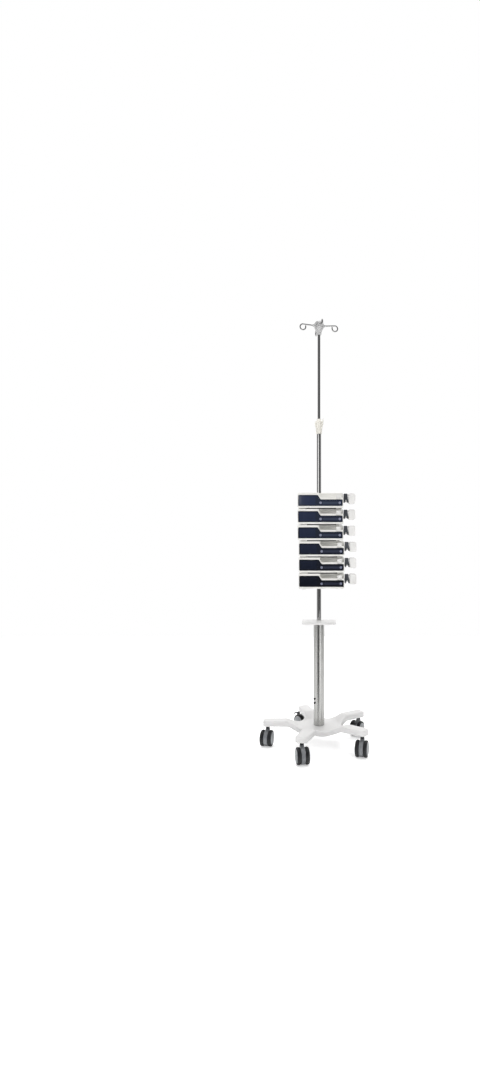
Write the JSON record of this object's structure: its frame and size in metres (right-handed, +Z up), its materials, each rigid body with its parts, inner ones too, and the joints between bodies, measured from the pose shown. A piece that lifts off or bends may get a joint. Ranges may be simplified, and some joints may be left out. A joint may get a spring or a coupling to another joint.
{
  "type": "iv pole with pump",
  "caption": "Rolling infusion stand: telescopic pole with bag hooks on a caster base, carrying a stack of slim syringe pumps clamped to the pole.",
  "frame": {"origin": "on the floor, under the axis of the lower column", "axes": "+Z up, +Y to the back, +X to the right of someone who faces the pump panels"},
  "size_m": [0.5015, 0.5784, 2.011],
  "materials": {
    "white_powder_coat": "smooth powder coat",
    "satin_steel": "satin polished",
    "black_steel": "black oxide",
    "chrome": "polished",
    "off_white_plastic": "fine satin",
    "nylon": "natural",
    "light_grey_plastic": "satin",
    "grey_hood_plastic": "semi gloss",
    "black_tyre": "smooth",
    "grey_disc_plastic": "semi gloss",
    "dark_pedal_plastic": "ribbed",
    "clamp_aluminium": "bead blasted",
    "black_rubber": "matt",
    "black_knob_plastic": "satin",
    "navy_gloss_panel": "high gloss",
    "white_case_plastic": "fine texture",
    "white_drive_plastic": "satin gloss",
    "black_claw_plastic": "satin"
  },
  "bodies": {
    "stand": {"base_casting": "white_powder_coat", "column_tube": "satin_steel", "column_fasteners": "black_steel", "top_plate": "white_powder_coat", "pole_socket": "chrome", "outer_tube": "chrome", "collar_body": "off_white_plastic", "upper_clamp_body": "clamp_aluminium", "lower_clamp_body": "clamp_aluminium", "front_panels": "navy_gloss_panel", "pump_1_case": "white_case_plastic", "pump_2_case": "white_case_plastic", "pump_3_case": "white_case_plastic", "pump_4_case": "white_case_plastic", "pump_5_case": "white_case_plastic", "pump_6_case": "white_case_plastic"},
    "lock_lever": {"collar_lever": "off_white_plastic"},
    "upper_pole": {"inner_tube": "chrome", "guide_bush": "nylon", "hook_head": "light_grey_plastic", "bag_hooks": "chrome"},
    "caster_1_swivel": {"caster_1_fork": "grey_hood_plastic"},
    "caster_1_wheels": {"caster_1_tyres": "black_tyre", "caster_1_discs": "grey_disc_plastic"},
    "caster_2_swivel": {"caster_2_fork": "grey_hood_plastic"},
    "caster_2_wheels": {"caster_2_tyres": "black_tyre", "caster_2_discs": "grey_disc_plastic"},
    "caster_3_swivel": {"caster_3_fork": "grey_hood_plastic"},
    "caster_3_wheels": {"caster_3_tyres": "black_tyre", "caster_3_discs": "grey_disc_plastic"},
    "caster_4_swivel": {"caster_4_fork": "grey_hood_plastic"},
    "caster_4_wheels": {"caster_4_tyres": "black_tyre", "caster_4_discs": "grey_disc_plastic"},
    "brake_4": {"brake_pedal_4": "dark_pedal_plastic"},
    "caster_5_swivel": {"caster_5_fork": "grey_hood_plastic"},
    "caster_5_wheels": {"caster_5_tyres": "black_tyre", "caster_5_discs": "grey_disc_plastic"},
    "brake_5": {"brake_pedal_5": "dark_pedal_plastic"},
    "upper_pad": {"upper_clamp_pad": "black_rubber"},
    "upper_knob": {"upper_clamp_knob": "black_knob_plastic"},
    "lower_pad": {"lower_clamp_pad": "black_rubber"},
    "lower_knob": {"lower_clamp_knob": "black_knob_plastic"},
    "gate_1": {"pump_1_barrel_clamp": "white_case_plastic"},
    "drive_1": {"pump_1_drive": "white_drive_plastic"},
    "claws_1": {"pump_1_claws": "black_claw_plastic"},
    "gate_2": {"pump_2_barrel_clamp": "white_case_plastic"},
    "drive_2": {"pump_2_drive": "white_drive_plastic"},
    "claws_2": {"pump_2_claws": "black_claw_plastic"},
    "gate_3": {"pump_3_barrel_clamp": "white_case_plastic"},
    "drive_3": {"pump_3_drive": "white_drive_plastic"},
    "claws_3": {"pump_3_claws": "black_claw_plastic"},
    "gate_4": {"pump_4_barrel_clamp": "white_case_plastic"},
    "drive_4": {"pump_4_drive": "white_drive_plastic"},
    "claws_4": {"pump_4_claws": "black_claw_plastic"},
    "gate_5": {"pump_5_barrel_clamp": "white_case_plastic"},
    "drive_5": {"pump_5_drive": "white_drive_plastic"},
    "claws_5": {"pump_5_claws": "black_claw_plastic"},
    "gate_6": {"pump_6_barrel_clamp": "white_case_plastic"},
    "drive_6": {"pump_6_drive": "white_drive_plastic"},
    "claws_6": {"pump_6_claws": "black_claw_plastic"}
  },
  "joints": [
    {"name": "pole_height", "type": "slide", "parent": "stand", "child": "upper_pole", "axis": [0, 0, 1], "range_m": [-0.38, 0]},
    {"name": "lock_lever_press", "type": "hinge", "parent": "stand", "child": "lock_lever", "pos_m": [0.0155, 0.061, 1.514], "axis": [0, -1, 0], "range_deg": [0, 8], "stiffness_Nm_per_rad": 0.3, "springref_deg": -5.73},
    {"name": "caster_1_turn", "type": "hinge", "parent": "stand", "child": "caster_1_swivel", "pos_m": [-0.24, 0, 0.1], "axis": [0, 0, 1], "continuous": true},
    {"name": "caster_1_roll", "type": "hinge", "parent": "caster_1_swivel", "child": "caster_1_wheels", "pos_m": [-0.24313, -0.01773, 0.0375], "axis": [0.9848, -0.1736, 0], "continuous": true},
    {"name": "caster_2_turn", "type": "hinge", "parent": "stand", "child": "caster_2_swivel", "pos_m": [-0.07416, -0.22825, 0.1], "axis": [0, 0, 1], "continuous": true},
    {"name": "caster_2_roll", "type": "hinge", "parent": "caster_2_swivel", "child": "caster_2_wheels", "pos_m": [-0.07057, -0.24589, 0.0375], "axis": [0.9799, 0.1994, 0], "continuous": true},
    {"name": "caster_3_turn", "type": "hinge", "parent": "stand", "child": "caster_3_swivel", "pos_m": [0.19416, -0.14107, 0.1], "axis": [0, 0, 1], "continuous": true},
    {"name": "caster_3_roll", "type": "hinge", "parent": "caster_3_swivel", "child": "caster_3_wheels", "pos_m": [0.19027, -0.15864, 0.0375], "axis": [0.9763, -0.2164, 0], "continuous": true},
    {"name": "caster_4_turn", "type": "hinge", "parent": "stand", "child": "caster_4_swivel", "pos_m": [0.19416, 0.14107, 0.1], "axis": [0, 0, 1], "continuous": true},
    {"name": "caster_4_roll", "type": "hinge", "parent": "caster_4_swivel", "child": "caster_4_wheels", "pos_m": [0.18599, 0.12503, 0.0375], "axis": [0.891, -0.454, 0], "continuous": true},
    {"name": "brake_4_press", "type": "hinge", "parent": "caster_4_swivel", "child": "brake_4", "pos_m": [0.17555, 0.10454, 0.056], "axis": [0.891, -0.454, 0], "range_deg": [0, 12]},
    {"name": "caster_5_turn", "type": "hinge", "parent": "stand", "child": "caster_5_swivel", "pos_m": [-0.07416, 0.22825, 0.1], "axis": [0, 0, 1], "continuous": true},
    {"name": "caster_5_roll", "type": "hinge", "parent": "caster_5_swivel", "child": "caster_5_wheels", "pos_m": [-0.08573, 0.24204, 0.0375], "axis": [-0.766, -0.6428, 0], "continuous": true},
    {"name": "brake_5_press", "type": "hinge", "parent": "caster_5_swivel", "child": "brake_5", "pos_m": [-0.10052, 0.25966, 0.056], "axis": [-0.766, -0.6428, 0], "range_deg": [0, 12]},
    {"name": "upper_pad_slide", "type": "slide", "parent": "stand", "child": "upper_pad", "axis": [1, 0, 0], "range_m": [0, 0.0121]},
    {"name": "upper_knob_turn", "type": "hinge", "parent": "upper_pad", "child": "upper_knob", "pos_m": [0.05, 0.061, 1.0695], "axis": [1, 0, 0], "range_deg": [0, 1440]},
    {"name": "lower_pad_slide", "type": "slide", "parent": "stand", "child": "lower_pad", "axis": [1, 0, 0], "range_m": [0, 0.0121]},
    {"name": "lower_knob_turn", "type": "hinge", "parent": "lower_pad", "child": "lower_knob", "pos_m": [0.05, 0.061, 0.8505], "axis": [1, 0, 0], "range_deg": [0, 1440]},
    {"name": "pump_1_drive_slide", "type": "slide", "parent": "stand", "child": "drive_1", "axis": [1, 0, 0], "range_m": [0, 0.11]},
    {"name": "pump_1_claws_swing", "type": "hinge", "parent": "drive_1", "child": "claws_1", "pos_m": [0.123, -0.084, 1.168], "axis": [-1, 0, 0], "range_deg": [0, 35], "stiffness_Nm_per_rad": 0.03, "springref_deg": -17.19},
    {"name": "pump_1_clamp_swing", "type": "hinge", "parent": "stand", "child": "gate_1", "pos_m": [0.088, -0.109, 1.1506], "axis": [1, 0, 0], "range_deg": [0, 70], "stiffness_Nm_per_rad": 0.02, "springref_deg": -17.19},
    {"name": "pump_2_drive_slide", "type": "slide", "parent": "stand", "child": "drive_2", "axis": [1, 0, 0], "range_m": [0, 0.11]},
    {"name": "pump_2_claws_swing", "type": "hinge", "parent": "drive_2", "child": "claws_2", "pos_m": [0.123, -0.084, 1.095], "axis": [-1, 0, 0], "range_deg": [0, 35], "stiffness_Nm_per_rad": 0.03, "springref_deg": -17.19},
    {"name": "pump_2_clamp_swing", "type": "hinge", "parent": "stand", "child": "gate_2", "pos_m": [0.088, -0.109, 1.0776], "axis": [1, 0, 0], "range_deg": [0, 70], "stiffness_Nm_per_rad": 0.02, "springref_deg": -17.19},
    {"name": "pump_3_drive_slide", "type": "slide", "parent": "stand", "child": "drive_3", "axis": [1, 0, 0], "range_m": [0, 0.11]},
    {"name": "pump_3_claws_swing", "type": "hinge", "parent": "drive_3", "child": "claws_3", "pos_m": [0.123, -0.084, 1.022], "axis": [-1, 0, 0], "range_deg": [0, 35], "stiffness_Nm_per_rad": 0.03, "springref_deg": -17.19},
    {"name": "pump_3_clamp_swing", "type": "hinge", "parent": "stand", "child": "gate_3", "pos_m": [0.088, -0.109, 1.0046], "axis": [1, 0, 0], "range_deg": [0, 70], "stiffness_Nm_per_rad": 0.02, "springref_deg": -17.19},
    {"name": "pump_4_drive_slide", "type": "slide", "parent": "stand", "child": "drive_4", "axis": [1, 0, 0], "range_m": [0, 0.11]},
    {"name": "pump_4_claws_swing", "type": "hinge", "parent": "drive_4", "child": "claws_4", "pos_m": [0.128, -0.084, 0.949], "axis": [-1, 0, 0], "range_deg": [0, 35], "stiffness_Nm_per_rad": 0.03, "springref_deg": -17.19},
    {"name": "pump_4_clamp_swing", "type": "hinge", "parent": "stand", "child": "gate_4", "pos_m": [0.093, -0.109, 0.9316], "axis": [1, 0, 0], "range_deg": [0, 70], "stiffness_Nm_per_rad": 0.02, "springref_deg": -17.19},
    {"name": "pump_5_drive_slide", "type": "slide", "parent": "stand", "child": "drive_5", "axis": [1, 0, 0], "range_m": [0, 0.11]},
    {"name": "pump_5_claws_swing", "type": "hinge", "parent": "drive_5", "child": "claws_5", "pos_m": [0.128, -0.084, 0.876], "axis": [-1, 0, 0], "range_deg": [0, 35], "stiffness_Nm_per_rad": 0.03, "springref_deg": -17.19},
    {"name": "pump_5_clamp_swing", "type": "hinge", "parent": "stand", "child": "gate_5", "pos_m": [0.093, -0.109, 0.8586], "axis": [1, 0, 0], "range_deg": [0, 70], "stiffness_Nm_per_rad": 0.02, "springref_deg": -17.19},
    {"name": "pump_6_drive_slide", "type": "slide", "parent": "stand", "child": "drive_6", "axis": [1, 0, 0], "range_m": [0, 0.11]},
    {"name": "pump_6_claws_swing", "type": "hinge", "parent": "drive_6", "child": "claws_6", "pos_m": [0.128, -0.084, 0.803], "axis": [-1, 0, 0], "range_deg": [0, 35], "stiffness_Nm_per_rad": 0.03, "springref_deg": -17.19},
    {"name": "pump_6_clamp_swing", "type": "hinge", "parent": "stand", "child": "gate_6", "pos_m": [0.093, -0.109, 0.7856], "axis": [1, 0, 0], "range_deg": [0, 70], "stiffness_Nm_per_rad": 0.02, "springref_deg": -17.19}
  ],
  "couplings": [
    {"joint": "upper_pad_slide", "follows": "upper_knob_turn", "m_per_rad": 0.00047746},
    {"joint": "lower_pad_slide", "follows": "lower_knob_turn", "m_per_rad": 0.00047746}
  ]
}
